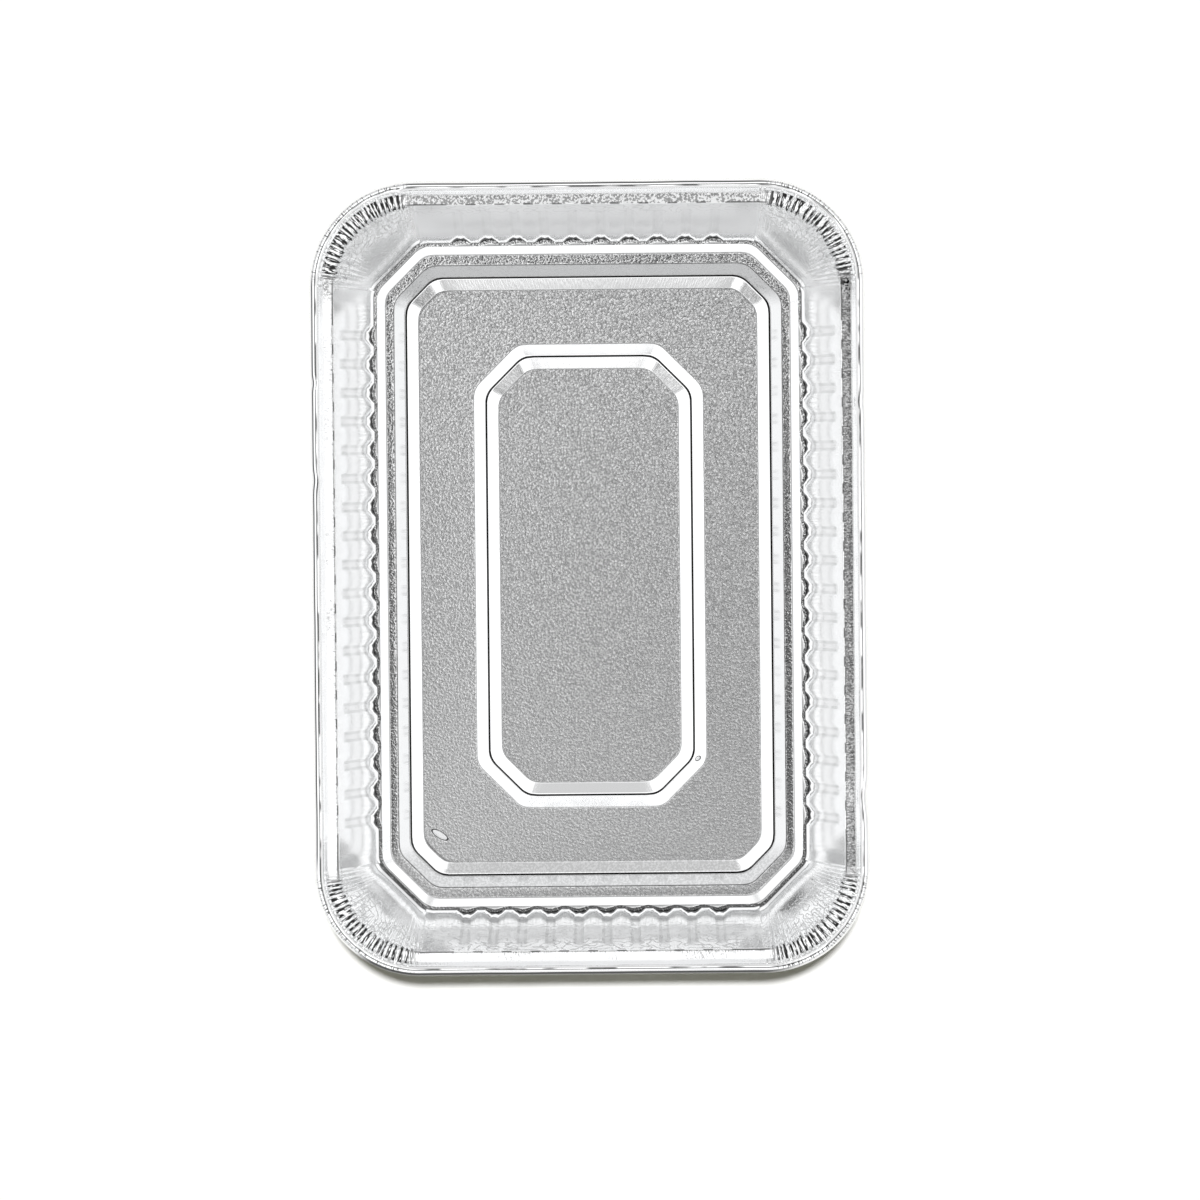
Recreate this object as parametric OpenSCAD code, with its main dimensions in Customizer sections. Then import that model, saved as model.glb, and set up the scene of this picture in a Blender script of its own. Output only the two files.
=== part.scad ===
// Oblong food tray pressed from one sheet of foil: sloping fluted walls, gathered corners,
// a flat shelf with a rolled edge round the mouth, and a stepped base with two raised beads.
// Millimetres. The tray stands on its base with Z up and its long side along Y.
// The origin is on the ground, under the middle of the base.

/* [Tray] */
// Overall length over the rolled edge
length = 215; // [190:1:280]
// Overall width over the rolled edge
width = 150.4; // [130:0.2:190]
// Height from the ground to the crest of the rolled edge
height = 45; // [30:1:60]
// Thickness of the foil
foil = 0.1; // [0.06:0.01:0.2]
// Radius of the corners, over the rolled edge
corner_r = 28.6; // [24:0.2:34]

/* [Rim] */
// Diameter of the rolled edge
curl_d = 3; // [2.6:0.1:3.8]
// Space between the rolled edge and the foil edge tucked inside it
curl_gap = 0.5; // [0.3:0.05:0.8]
// Width of the slope that rises from the shelf to the rolled edge
rise_w = 0.9; // [0.6:0.1:2]
// Height of the rolled edge over the outer side of the shelf
rise_h = 1.95; // [1.6:0.05:2.6]
// Width of the shelf between the walls and that slope
shelf_w = 2.6; // [1.6:0.1:6]
// Fall of the shelf towards the rolled edge, in degrees
shelf_fall = 6; // [0:1:10]
// Length taken off the shelf's inner corner by its rounding
shoulder = 0.9; // [0.4:0.1:1.4]

/* [Walls] */
// Slope of the two long walls, in degrees from upright
side_draft = 12.2; // [6:0.2:16]
// Slope of the two short walls, in degrees from upright
end_draft = 11; // [6:0.2:16]
// Distance from one flute to the next
flute_pitch = 7.8; // [6:0.1:12]
// Depth of the flutes, from crest to hollow
flute_depth = 1.4; // [0.4:0.1:2]
// Depth of the scallops that the flutes leave at the foot of the wall
scallop_depth = 1; // [0.2:0.1:1.4]
// Least stretch of plain wall between the last flute and the corner
flute_margin = 6.5; // [4:0.5:12]

/* [Corners] */
// Number of gathers in each corner
gathers = 18; // [6:1:20]
// Depth of the gathers on the shelf
shelf_gather = 0.3; // [0.1:0.05:0.5]
// Depth of the gathers at the top of the corner walls
wall_gather = 0.5; // [0.1:0.05:0.8]

/* [Base] */
// Leg of the base's cut corners, measured along the side at the step
base_chamfer = 12.6; // [8:0.2:18]
// Width of the ledge between the step and the scallops, where it is narrowest
ledge_w = 0.7; // [0.5:0.1:3]
// Height of the step from the base up to the ledge
step_h = 2; // [0.5:0.1:4]
// Width of the slope of the step
step_w = 2.5; // [1:0.1:4]
// Flat between the step and the outer bead, along the long sides
ring_w = 2.2; // [1:0.1:5]
// Flat between the step and the outer bead, along the short sides
ring_end_w = 2.9; // [1:0.1:5]
// Width of the raised beads
bead_w = 7; // [4:0.1:9]
// Height of the raised beads
bead_h = 1.7; // [0.5:0.1:2.5]
// Flat between the two beads
panel_w = 15; // [6:0.5:20]
// Leg of the inner bead's cut corners, along its crest
inner_chamfer = 10.3; // [6:0.1:14]

/* [Hidden] */

// Lengths taken off each side of a fold by its rounding
fold_soft = 0.4;
crest_soft = 0.9;
vertex_soft = 1.2;

// Facets: rolled edge per quarter turn, and its columns in each corner
curl_steps = 3;
curl_columns = 8;
// Phases of a flute at which the wall has a column
flute_phases = [-150, -30, 30, 150];
flute_sample = cos(30);

// An outline is [half width, half length, corner leg]
rim = [width / 2, length / 2, corner_r];
curl_r = curl_d / 2;
curl_z = height - curl_r;
shelf_out = shrink_round(rim, curl_d + rise_w);
shelf_in = shrink_round(shelf_out, shelf_w);
shelf_out_z = height - rise_h;
shelf_in_z = shelf_out_z + shelf_w * tan(shelf_fall);
ledge_z = foil + step_h;
wall_h = shelf_in_z - ledge_z;
side_run = wall_h * tan(side_draft);
end_run = wall_h * tan(end_draft);
ledge_mean = ledge_w + scallop_depth / 2;
step_top = [shelf_in.x - side_run - ledge_mean, shelf_in.y - end_run - ledge_mean, base_chamfer];
foot = shrink_cut(step_top, -ledge_mean);
step_low = shrink_cut(step_top, step_w);
outer_bead = shrink_cut(step_low, ring_w + bead_w / 2) - [0, ring_end_w - ring_w, 0];
inner_bead = [
    outer_bead.x - bead_w - panel_w,
    outer_bead.y - bead_w - panel_w,
    inner_chamfer
];

// Straight half lengths of the long and short walls, and the flutes that fit on them
straights = [rim.y - corner_r, rim.x - corner_r];
flutes = [for (s = straights) floor(2 * (s - flute_margin) / flute_pitch)];

function unit(v) = v / norm(v);
function mix(a, b, t) = a * (1 - t) + b * t;

// Parallel outline a distance d further in, with round corners or with cut corners
function shrink_round(o, d) = o - [d, d, d];
function shrink_cut(o, d) = o - [d, d, (2 - sqrt(2)) * d];

// Places along an outline: whole numbers from 0 to 8 are the ends of the four sides, counted
// anticlockwise from the front end of the right side. Sides start at even numbers.
long_soft = vertex_soft / (2 * straights[0]);
short_soft = vertex_soft / (2 * straights[1]);
cut_soft = vertex_soft / (base_chamfer * sqrt(2));
function side_soft(k) = k % 4 == 0 ? long_soft : short_soft;

base_places = [for (k = [0:2:6])
    each [k, k + side_soft(k), k + 1 - side_soft(k), k + 1, k + 1 + cut_soft, k + 2 - cut_soft]];
ledge_places = [for (k = [0:2:6]) each concat(
    [k, k + side_soft(k)], flute_places(k, [0]), [k + 1 - side_soft(k), k + 1, k + 1 + cut_soft, k + 2 - cut_soft])];
wall_places = [for (k = [0:2:6])
    each concat([k], flute_places(k, flute_phases), [k + 1], gather_places(k + 1))];
shelf_places = [for (k = [0:2:6]) each concat([k, k + 1], gather_places(k + 1))];
curl_places = [for (k = [0:2:6])
    each concat([k, k + 1], [for (j = [1:curl_columns]) k + 1 + j / (curl_columns + 1)])];

function flute_places(k, phases) =
    let (n = flutes[(k % 4) / 2], s = straights[(k % 4) / 2])
    [for (i = [0:n - 1], phase = phases)
        k + 0.5 + (i - (n - 1) / 2 + phase / 360) * flute_pitch / (2 * s)];
function gather_places(k) = [for (j = [0:2 * gathers - 1]) k + (j + 0.5) / (2 * gathers)];

// Height of the flutes' wave at a place on a side, from -1 in to 1 out, and 0 on the plain ends
function flute_wave(place) =
    let (k = floor(place), n = flutes[(k % 4) / 2], s = straights[(k % 4) / 2])
    let (turn = (place - k - 0.5) * 2 * s / flute_pitch)
    abs(turn) > n / 2 ? 0 : cos(360 * (turn + (n - 1) / 2)) / flute_sample;
// Wave of the gathers at a place in a corner
function gather_wave(place) = sin(360 * gathers * (place - floor(place)));

// Point of an outline at a place, on the sides and corners of one half turn
function side_point(o, k, t) =
    k == 0 ? [o.x, (2 * t - 1) * (o.y - o[2])] : [(1 - 2 * t) * (o.x - o[2]), o.y];
function corner_point(o, k, t, round) =
    let (arc = [cos(90 * t), sin(90 * t)], cut = arc / (arc.x + arc.y))
    let (p = mix(cut, arc, round) * o[2] + [o.x - o[2], o.y - o[2]], q = mix(cut, arc, round) * o[2])
    k == 1 ? p : [-(o.x - o[2]) - q.y, o.y - o[2] + q.x];
function sharp_point(o, round, place) =
    let (u = (place + 8) % 8, k = floor(u) % 4, t = u - floor(u), turn = u >= 4 ? -1 : 1)
    turn * (k % 2 == 0 ? side_point(o, k, t) : corner_point(o, k, t, round));
// The same with the ends of the sides rounded, where the corners are cut
function outline_point(o, round, place) =
    place != floor(place) ? sharp_point(o, round, place) :
    let (k = place % 8, is_start = k % 2 == 0)
    let (back = is_start ? cut_soft : side_soft(k - 1), ahead = is_start ? side_soft(k) : cut_soft)
    let (sharp = sharp_point(o, round, place))
    let (near = (sharp_point(o, round, place - back) + sharp_point(o, round, place + ahead)) / 2)
    mix(mix(sharp, near, 0.5), sharp, round);
function outward(place) =
    let (u = (place + 8) % 8, k = floor(u), t = k % 2 == 0 ? 0 : u - k, a = 45 * (k - k % 2) + 90 * t)
    [cos(a), sin(a)];

// A station of the section: outline, roundness of its corners, height of the inner skin,
// depth of the flutes, and depth of the gathers outwards and upwards
function station(o, z, round = 0, flute = 0, gather = [0, 0]) = [
    o.x, o.y, o[2], round, z, flute / 2, gather.x / 2, gather.y / 2
];
function skin_point(s, place) =
    let (o = [s[0], s[1], s[2]], on_side = floor((place + 8) % 8) % 2 == 0)
    let (wave = on_side ? 0 : gather_wave(place))
    let (out = s[6] * wave + (on_side && s[5] != 0 ? s[5] * flute_wave((place + 8) % 8) : 0))
    let (p = outline_point(o, s[3], place) + out * outward(place))
    [p.x, p.y, s[4] + s[7] * wave];

// A fold of the section is [station, places, length of its rounding, facets of its rounding]
function bead(o) = [
    [station(shrink_cut(o, bead_w / 2), foil), base_places, fold_soft, 1],
    [station(o, foil + bead_h / (1 - crest_soft / bead_w)), base_places, crest_soft, 2],
    [station(shrink_cut(o, -bead_w / 2), foil), base_places, fold_soft, 1]
];
step = [
    [station(step_low, foil), base_places, fold_soft, 1],
    [station(step_top, ledge_z), ledge_places, fold_soft, 1]
];

// Rows of the wall: share of its height, and depth of the flutes there
wall_rows = [[0, scallop_depth], [0.9, flute_depth], [0.945, 0]];
wall = [for (row = wall_rows)
    let (h = row[0])
    [station(mix(foot, shelf_in, h), ledge_z + h * wall_h, h, row[1], [h * wall_gather, 0]),
        wall_places, 0, 0]];
shelf = [
    [station(shelf_in, shelf_in_z, 1, 0, [0, shelf_gather]), shelf_places, shoulder, 2],
    [station(shelf_out, shelf_out_z, 1, 0, [0, shelf_gather / 2]), shelf_places, fold_soft, 1]
];

// The rolled edge turns over the crest and under, and its last half turn winds in by curl_gap
curl_end = -180;
function curl_radius(a) = curl_r - (a < 0 ? (foil + curl_gap) * a / curl_end : 0);
curl = [for (a = [180 - 90 / curl_steps : -90 / curl_steps : curl_end])
    let (r = curl_radius(a))
    [station(shrink_round(rim, curl_r - r * cos(a)), curl_z + r * sin(a), 1), curl_places, 0, 0]];

// Rounds each fold of a section between its neighbours
function towards(a, b, d) = mix(a, b, min(0.45, d / norm([b[0] - a[0], b[4] - a[4]])));
function rounded(folds) = [for (i = [0:len(folds) - 1])
    let (f = folds[i], s = f[0], n = f[3])
    let (a = n > 0 ? towards(s, folds[i - 1][0], f[2]) : s)
    let (b = n > 0 ? towards(s, folds[i + 1][0], f[2]) : s)
    for (j = [0:n])
        let (t = n > 0 ? j / n : 0)
        [mix(mix(a, s, t), mix(s, b, t), t), f[1]]];

middle = [[station(shrink_cut(inner_bead, bead_w), foil), base_places, 0, 0]];
section = rounded(concat(middle, bead(inner_bead), bead(outer_bead), step, wall, shelf, curl));

// Inner skin at a place of station i, and outer skin one foil thickness behind it
function inner_skin(i, place) = skin_point(section[i][0], place);
function outer_skin(i, place) =
    let (last = len(section) - 1, here = inner_skin(i, place), nudge = 0.001)
    let (along = inner_skin(i, place + nudge) - inner_skin(i, place - nudge))
    let (from = i > 0 ? here - inner_skin(i - 1, place) : [here.x, here.y, 0])
    let (to = i < last ? inner_skin(i + 1, place) - here : from)
    let (face_before = unit(cross(from, along)), face_after = unit(cross(to, along)))
    let (normal = unit(face_before + face_after))
    here - foil / (normal * face_before) * normal;

// Triangles between two closed rings of points that start at numbers a and b, given their
// places. Each edge of one ring meets the point of the other that lies level with its middle.
function edge_middles(places) =
    let (n = len(places))
    [for (i = [0:n - 1]) (places[i] + (i + 1 < n ? places[i + 1] : 8)) / 2];
function stitch(a, b, places_a, places_b) =
    let (na = len(places_a), nb = len(places_b))
    let (middles_a = edge_middles(places_a), middles_b = edge_middles(places_b))
    concat(
        [for (i = [0:na - 1])
            let (j = len([for (m = middles_b) if (m < middles_a[i]) m]))
            [a + i, a + (i + 1) % na, b + j % nb]],
        [for (j = [0:nb - 1])
            let (i = len([for (m = middles_a) if (m <= middles_b[j]) m]))
            [a + i % na, b + (j + 1) % nb, b + j]]);
function reversed(faces) = [for (f = faces) [for (i = [len(f) - 1:-1:0]) f[i]]];

module pressed_sheet() {
    last = len(section) - 1;
    sizes = [for (s = section) len(s[1])];
    starts = [for (i = 0, sum = 0; i <= last; sum = sum + sizes[i], i = i + 1) sum];
    total = starts[last] + sizes[last];
    inner = [for (i = [0:last]) each [for (p = section[i][1]) inner_skin(i, p)]];
    outer = [for (i = [0:last]) each [for (p = section[i][1]) outer_skin(i, p)]];
    bands = [for (i = [0:last - 1])
        each stitch(starts[i], starts[i + 1], section[i][1], section[i + 1][1])];
    panel = [[for (j = [0:sizes[0] - 1]) j]];
    under = [for (f = concat(bands, reversed(panel))) [for (i = f) i + total]];
    edge = stitch(starts[last], starts[last] + total, section[last][1], section[last][1]);
    polyhedron(concat(inner, outer), concat(bands, reversed(panel), reversed(under), edge), 4);
}

module container() {
    color("silver") pressed_sheet();
}

container();
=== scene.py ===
# %% [markdown]
# # A foil food tray, seen from above
# The real tray is one sheet of soft aluminium foil, a tenth of a millimetre thick, pressed between two dies.
# The press draws the walls into flutes, gathers the spare foil of the corners into small pleats, stamps two
# raised beads into the base and rolls the edge over. The solid model already fixes every size. This lesson
# rebuilds the sheet with far finer folds, gives it a bright foil finish and lights it like a product photo.

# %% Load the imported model
import math
import random
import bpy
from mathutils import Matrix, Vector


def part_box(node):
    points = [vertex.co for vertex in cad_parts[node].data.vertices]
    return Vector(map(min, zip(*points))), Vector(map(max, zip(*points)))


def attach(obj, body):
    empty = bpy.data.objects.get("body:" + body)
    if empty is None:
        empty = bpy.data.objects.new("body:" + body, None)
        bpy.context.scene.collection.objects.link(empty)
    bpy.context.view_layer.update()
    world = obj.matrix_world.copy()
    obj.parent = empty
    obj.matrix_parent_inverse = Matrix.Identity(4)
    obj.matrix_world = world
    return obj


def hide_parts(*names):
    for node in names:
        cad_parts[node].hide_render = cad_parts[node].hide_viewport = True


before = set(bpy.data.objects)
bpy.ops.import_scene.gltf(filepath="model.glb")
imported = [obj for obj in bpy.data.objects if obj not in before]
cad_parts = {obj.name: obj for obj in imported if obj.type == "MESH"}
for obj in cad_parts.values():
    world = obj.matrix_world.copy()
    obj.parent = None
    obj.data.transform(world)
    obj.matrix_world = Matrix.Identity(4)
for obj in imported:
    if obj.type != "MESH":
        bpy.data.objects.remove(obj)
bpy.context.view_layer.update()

from types import SimpleNamespace

import bmesh
import bpy
from mathutils import Matrix, Vector, noise

MM = 0.001
low, high = (Vector(corner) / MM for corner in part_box("container"))
half_width, half_length, height = high.x, high.y, high.z
print("tray", round(2 * half_width, 1), "by", round(2 * half_length, 1), "by", round(height, 1), "mm")

# %% [markdown]
# ## The camera
# The photo looks straight into the mouth of the tray from far away, so the walls show on all four sides. The
# camera hangs above the tray with a long lens. Its small side step and tilt put the base and the rim where
# the photo has them, and its small roll turns the tray as it lies in the photo.

# %% Hang the camera over the tray
FRAME_SIZE = 1200
PIXEL_AT_RIM = 0.2703 * MM
CAMERA_DISTANCE = 1.6
CAMERA_STEP = Vector((0.0075, 0.020))
AIM = Vector((0.0028, -0.0061, height * MM))
ROLL = math.radians(0.55)


def make_camera():
    data = bpy.data.cameras.new("camera")
    data.lens = data.sensor_width * CAMERA_DISTANCE / (FRAME_SIZE * PIXEL_AT_RIM)
    data.clip_start, data.clip_end = 0.1, 50
    camera = bpy.data.objects.new("camera", data)
    bpy.context.collection.objects.link(camera)
    camera.location = (*CAMERA_STEP, height * MM + CAMERA_DISTANCE)
    back = (camera.location - AIM).normalized()
    right = Vector((math.sin(ROLL), math.cos(ROLL), 0)).cross(back).normalized()
    camera.rotation_euler = Matrix((right, back.cross(right), back)).transposed().to_euler()
    bpy.context.scene.camera = camera
    return camera


camera = make_camera()
bpy.context.scene.view_settings.view_transform = "Standard"
print("lens", round(camera.data.lens), "mm")

# %% [markdown]
# ## Numbers that steer nodes
# A material is a graph of nodes. Writing it with Python operators keeps the sums readable: `Link` wraps an
# output, and each operator on it adds one Math node. Every other node comes from `Graph.add`, which sets the
# node's own settings first and then its inputs, either to values or to links.

# %% A small language for node graphs
class Link:
    def __init__(self, graph, socket):
        self.graph, self.socket = graph, socket

    def math(self, operation, *values):
        return self.graph.add("ShaderNodeMath", {"operation": operation}, *values)

    def __add__(self, other):
        return self.math("ADD", self, other)

    def __sub__(self, other):
        return self.math("SUBTRACT", self, other)

    def __rsub__(self, other):
        return self.math("SUBTRACT", other, self)

    def __mul__(self, other):
        return self.math("MULTIPLY", self, other)

    def __truediv__(self, other):
        return self.math("DIVIDE", self, other)

    def __pow__(self, other):
        return self.math("POWER", self, other)

    __radd__ = __add__
    __rmul__ = __mul__


class Graph:
    def __init__(self, tree):
        self.tree = tree
        tree.nodes.clear()

    def add(self, kind, settings=(), *values, output=0, **named):
        node = self.tree.nodes.new(kind)
        for name, setting in dict(settings).items():
            setattr(node, name, setting)
        for key, value in [*enumerate(values), *named.items()]:
            socket = node.inputs[key.replace("_", " ") if isinstance(key, str) else key]
            if isinstance(value, Link):
                self.tree.links.new(value.socket, socket)
            else:
                socket.default_value = value
        return Link(self, node.outputs[output]) if node.outputs else None

    def ramp(self, value, start, end, low=0.0, high=1.0, smooth=True):
        """Value carried from the range start..end to low..high, and held at the ends."""
        kind = "SMOOTHSTEP" if smooth else "LINEAR"
        return self.add("ShaderNodeMapRange", {"interpolation_type": kind}, value, start, end, low, high)

    def band(self, value, start, end, soft):
        """1 where the value lies in start..end, and 0 a soft step beyond it."""
        return self.ramp(value, start - soft, start) * self.ramp(value, end, end + soft, 1, 0)

    def parts(self, vector):
        """X, Y and Z of a vector."""
        split = self.add("ShaderNodeSeparateXYZ", (), vector)
        return [Link(self, output) for output in split.socket.node.outputs]

    def noise(self, where, size, detail=2.0, roughness=0.5, stretch=(1, 1, 1)):
        """Noise with features of about the given size, from 0 to 1."""
        spread = self.add("ShaderNodeMapping", (), where, Scale=[1 / (size * s) for s in stretch])
        return self.add("ShaderNodeTexNoise", (), spread, Scale=1.0, Detail=detail, Roughness=roughness)

    def creases(self, where, size, detail=2.0, stretch=(1, 1, 1)):
        """Thin wavering lines, 1 on a line and 0 away from it, where a noise crosses its middle value."""
        swing = self.noise(where, size, detail, 0.5, stretch) - 0.5
        return self.ramp(swing.math("ABSOLUTE", swing), 0.0, 0.05, 1, 0)


print("node graph helpers ready")

# %% [markdown]
# ## The light
# Foil has hardly any colour of its own. It shows what it mirrors, so the room matters more than the lamps.
# A plain white room would leave the tray white on white. The photographed tray mirrors a dark patch above its
# mouth, a little to the right. Every flat part of the tray and the crest of every fold shows that patch, and
# the slopes show the white room around it. Four grey patches lie lower in the room. They shade the inner sides
# of the beads, at both ends and at the cut corners. Nearer the ground the room dims in three steps, among them
# a grey belt, which gives the walls their greys in a view from the side. Tilts are degrees from straight up.
# For the foil the room is a quarter brighter than plain white, because the camera sees most of the walls by
# way of the base, after two reflections.

# %% Make the room
DARK_PATCH = {"tilt": (2.8, 0.6), "radius": 9.2, "edge": 2.0, "level": 0.02}
GREY_PATCHES = (
    {"tilt": (0.0, -36.5), "radius": 5.0, "edge": 0.4, "level": 0.45},
    {"tilt": (25.5, -25.0), "radius": 5.6, "edge": 1.0, "level": 0.22},
    {"tilt": (-25.5, -25.0), "radius": 5.6, "edge": 1.0, "level": 0.28},
    {"tilt": (0.0, 44.0), "radius": 9.0, "edge": 2.0, "level": 0.53},
)
LOW_ROOM = {"start": 50.0, "end": 56.0, "level": 0.92}
BELT = {"start": 57.0, "end": 64.0, "soft": 5.0, "level": 0.34}
HORIZON = {"start": 76.0, "end": 88.0, "level": 0.4}
ROOM_LEVEL = 1.25
SKY_FOR_FLOOR = 0.04


def towards(tilt):
    """Unit vector that leans from straight up by angles towards +X and +Y."""
    x, y = (math.sin(math.radians(angle)) for angle in tilt)
    return (x, y, math.sqrt(1 - x * x - y * y))


def angle_to(graph, direction, tilt):
    """Angle in degrees between the direction and a leaning axis."""
    share = graph.add("ShaderNodeVectorMath", {"operation": "DOT_PRODUCT"}, direction, towards(tilt), output=1)
    return share.math("ARCCOSINE", share) * (180 / math.pi)


def make_room():
    world = bpy.data.worlds.new("white room")
    bpy.context.scene.world = world
    world.use_nodes = True
    graph = Graph(world.node_tree)
    direction = graph.add("ShaderNodeTexCoord", (), output=0)
    tilt = angle_to(graph, direction, (0, 0))
    level = 1 - graph.band(tilt, BELT["start"], BELT["end"], BELT["soft"]) * (1 - BELT["level"])
    for lower in (LOW_ROOM, HORIZON):
        level = level * graph.ramp(tilt, lower["start"], lower["end"], 1, lower["level"])
    for patch in (*GREY_PATCHES, DARK_PATCH):
        away = angle_to(graph, direction, patch["tilt"])
        level = level * graph.ramp(away, patch["radius"] - patch["edge"], patch["radius"] + patch["edge"],
                                   patch["level"], 1)
    # The camera sees plain white, the foil mirrors the room, and the floor gets hardly any light from it
    camera_rays = graph.add("ShaderNodeLightPath", (), output=0)
    depth = graph.add("ShaderNodeLightPath", (), output="Diffuse Depth")
    floor_rays = depth.math("MINIMUM", depth, 1.0)
    mirrored = (1 - camera_rays) * (1 - floor_rays) * level * ROOM_LEVEL
    background = graph.add("ShaderNodeBackground", (), (1, 1, 1, 1),
                           camera_rays + floor_rays * SKY_FOR_FLOOR + mirrored)
    graph.add("ShaderNodeOutputWorld", (), background)
    return world


room = make_room()
print("room", room.name)

# %% [markdown]
# ## The floor
# The tray stands on a white floor that runs into a white background. The floor takes the tray's soft shadow.
# The shadow is dark, because the room gives the floor hardly any light. For the camera and for reflections a
# small part of the floor's light is its own, and short of blue, which tints the shadow as in the photo.

# %% Lay the floor
FLOOR_HALF = 12.0
FLOOR_WHITE = (1.0, 1.0, 1.0, 1)
FLOOR_GLOW = (1.0, 0.98, 0.45, 1)
FLOOR_OWN_LIGHT = 0.05


def make_floor():
    bm = bmesh.new()
    bmesh.ops.create_grid(bm, x_segments=1, y_segments=1, size=FLOOR_HALF)
    mesh = bpy.data.meshes.new("floor")
    bm.to_mesh(mesh)
    bm.free()
    floor = bpy.data.objects.new("floor", mesh)
    bpy.context.collection.objects.link(floor)
    material = bpy.data.materials.new("white floor")
    material.use_nodes = True
    graph = Graph(material.node_tree)
    camera_rays = graph.add("ShaderNodeLightPath", (), output=0)
    glossy_rays = graph.add("ShaderNodeLightPath", (), output=3)
    clear_rays = graph.add("ShaderNodeLightPath", (), output=6)
    seen = camera_rays.math("MAXIMUM", camera_rays, camera_rays.math("MAXIMUM", glossy_rays, clear_rays))
    paper = graph.add("ShaderNodeBsdfDiffuse", (), FLOOR_WHITE)
    glow = graph.add("ShaderNodeEmission", (), FLOOR_GLOW, 1.0)
    surface = graph.add("ShaderNodeMixShader", (), seen * FLOOR_OWN_LIGHT, paper, glow)
    graph.add("ShaderNodeOutputMaterial", (), surface)
    mesh.materials.append(material)
    return floor


floor = make_floor()
print("floor", 2 * FLOOR_HALF, "m across")

# %% [markdown]
# The lamp is there for the floor alone. It lights the paper fully and leaves the tray's shadow at the near
# edge. The foil doesn't mirror it, so no hot spot shows in the tray.

# %% Hang the lamp over the floor
LAMP_TILT = (0.0, 8.2)
LAMP_WIDTH = 3.0
LAMP_SHARE = 1.0


def make_lamp():
    data = bpy.data.lights.new("floor lamp", "SUN")
    data.energy = LAMP_SHARE * math.pi
    data.angle = math.radians(LAMP_WIDTH)
    lamp = bpy.data.objects.new("floor lamp", data)
    bpy.context.collection.objects.link(lamp)
    lamp.rotation_euler = Vector(towards(LAMP_TILT)).to_track_quat("Z", "Y").to_euler()
    lamp.visible_glossy = False
    return lamp


lamp = make_lamp()
print("lamp", lamp.name)

# %% [markdown]
# ## The section of the tray
# Cut the tray across and the foil draws one line: up and down over two beads, up a step, along a narrow ledge,
# up the wall, out over a shelf, up and round the rolled edge. The section is a list of folds. Each fold lies
# on an outline seen from above, given by half its width, half its length, the leg of its corners and how
# round they are. The base has cut corners and the rim has round ones, and the wall blends one into the other.

# %% Sizes of the section, in millimetres
FOIL = 0.1
CORNER = 28.6
CURL_R = 1.5
RISE_W, RISE_H = 0.9, 1.95
SHELF_W, SHELF_FALL = 2.6, 3.0
SIDE_DRAFT, END_DRAFT = 12.2, 11.0
LEDGE = 1.2
STEP_W, STEP_H = 2.5, 2.0
RING_W, RING_END_W = 2.2, 2.9
BEAD_W, BEAD_H = 7.0, 1.25
PANEL_W = 15.0
CUT_CORNER, INNER_CUT_CORNER = 12.6, 10.3


def shrink(outline, by):
    """The parallel outline, further in by a distance."""
    half_x, half_y, leg, roundness = outline
    shorter = by * (roundness + (1 - roundness) * (2 - math.sqrt(2)))
    return (half_x - by, half_y - by, leg - shorter, roundness)


rim = (half_width, half_length, CORNER, 1.0)
shelf_out = shrink(rim, 2 * CURL_R + RISE_W)
shelf_in = shrink(shelf_out, SHELF_W)
shelf_out_z = height - RISE_H
shelf_in_z = shelf_out_z + SHELF_W * math.tan(math.radians(SHELF_FALL))
ledge_z = FOIL + STEP_H
wall_h = shelf_in_z - ledge_z
run_x, run_y = (wall_h * math.tan(math.radians(draft)) for draft in (SIDE_DRAFT, END_DRAFT))
step_top = (shelf_in[0] - run_x - LEDGE, shelf_in[1] - run_y - LEDGE, CUT_CORNER, 0.0)
foot = shrink(step_top, -LEDGE)
step_low = shrink(step_top, STEP_W)
outer_bead = shrink(step_low, RING_W + BEAD_W / 2)
outer_bead = (outer_bead[0], outer_bead[1] - (RING_END_W - RING_W), *outer_bead[2:])
inner_bead = (outer_bead[0] - BEAD_W - PANEL_W, outer_bead[1] - BEAD_W - PANEL_W, INNER_CUT_CORNER, 0.0)
print("foot of the wall", [round(side, 1) for side in foot[:2]])

# %% [markdown]
# ## Columns round the tray
# Every ring of the mesh has its points at the same places round the tray. Places are counted as on the solid
# model: whole numbers from 0 to 8 are the ends of the four sides, anticlockwise. A side takes eight points to
# a flute. A corner takes six to a pleat, and the pleats have uneven widths, as in gathered foil.

# %% Places of the columns
FLUTE_PITCH = 7.8
FLUTE_MARGIN = 6.5
FLUTE_POINTS = 8
PLEATS = 26
PLEAT_PHASES = (0.0, 0.2, 0.36, 0.5, 0.64, 0.8)
PLAIN_STEPS = (0, 0.3, 0.6, 0.9, 1.2, 1.65, 2.1, 2.55, 3.0, 4.4, 5.8, 7.2)
PLAIN_REACH = 8.7
COARSE = 4

straights = (half_length - CORNER, half_width - CORNER)
flutes = [int(2 * (half - FLUTE_MARGIN) / FLUTE_PITCH) for half in straights]
dice = random.Random(7)


def side_places(k):
    """Places of the columns of side k, from its first end up to, but not including, its last."""
    half, count = (straights[k // 2 % 2], flutes[k // 2 % 2])
    margin = half - count * FLUTE_PITCH / 2
    plain = [step * margin / PLAIN_REACH for step in PLAIN_STEPS]
    fluted = [margin + i * FLUTE_PITCH / FLUTE_POINTS for i in range(count * FLUTE_POINTS)]
    tail = [2 * half - step for step in plain[:0:-1]]
    turn = 2 * half - margin
    return [k + run / (2 * half) for run in (*plain, *fluted, turn, *tail)]


def pleat_bounds():
    """Bounds of the pleats of one corner, from 0 to 1."""
    widths = [dice.uniform(0.6, 1.4) for _ in range(PLEATS)]
    total = sum(widths)
    return [sum(widths[:i]) / total for i in range(PLEATS + 1)]


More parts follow.
